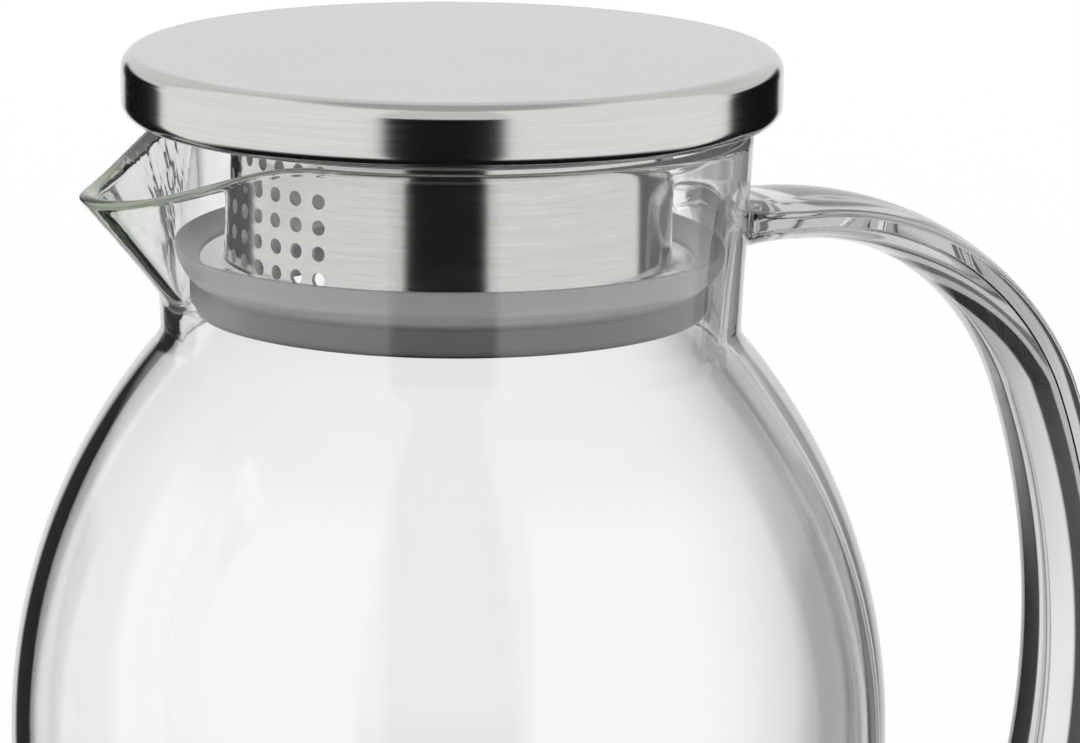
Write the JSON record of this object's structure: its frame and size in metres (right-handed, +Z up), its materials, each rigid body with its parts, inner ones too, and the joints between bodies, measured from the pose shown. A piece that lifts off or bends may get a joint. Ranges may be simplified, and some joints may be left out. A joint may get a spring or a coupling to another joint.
{
  "type": "glass pitcher with lid",
  "caption": "Clear glass pitcher with a pulled spout, a welded glass strap handle and a lift-off brushed-steel lid that carries a strainer sleeve and a silicone seal.",
  "frame": {"origin": "on the body's axis at the flat base", "axes": "+Z up along the body's axis, -X toward the spout, +X toward the handle"},
  "size_m": [0.1846, 0.1416, 0.2167],
  "materials": {
    "clear_glass": "clear, fire-polished",
    "brushed_steel": "fine brushed stainless steel",
    "grey_silicone": "satin, slightly translucent"
  },
  "bodies": {
    "jug": {"glass_body": "clear_glass", "glass_handle": "clear_glass"},
    "seal": {"seal_ring": "grey_silicone"},
    "lid": {"lid_cap": "brushed_steel", "lid_base_plate": "brushed_steel", "strainer_sleeve": "brushed_steel"}
  },
  "joints": [
    {"name": "lid_lift", "type": "slide", "parent": "jug", "child": "seal", "axis": [0, 0, 1], "range_m": [0, 0.08]},
    {"name": "lid_turn", "type": "hinge", "parent": "seal", "child": "lid", "pos_m": [0, 0, 0.2], "axis": [0, 0, 1], "continuous": true}
  ]
}
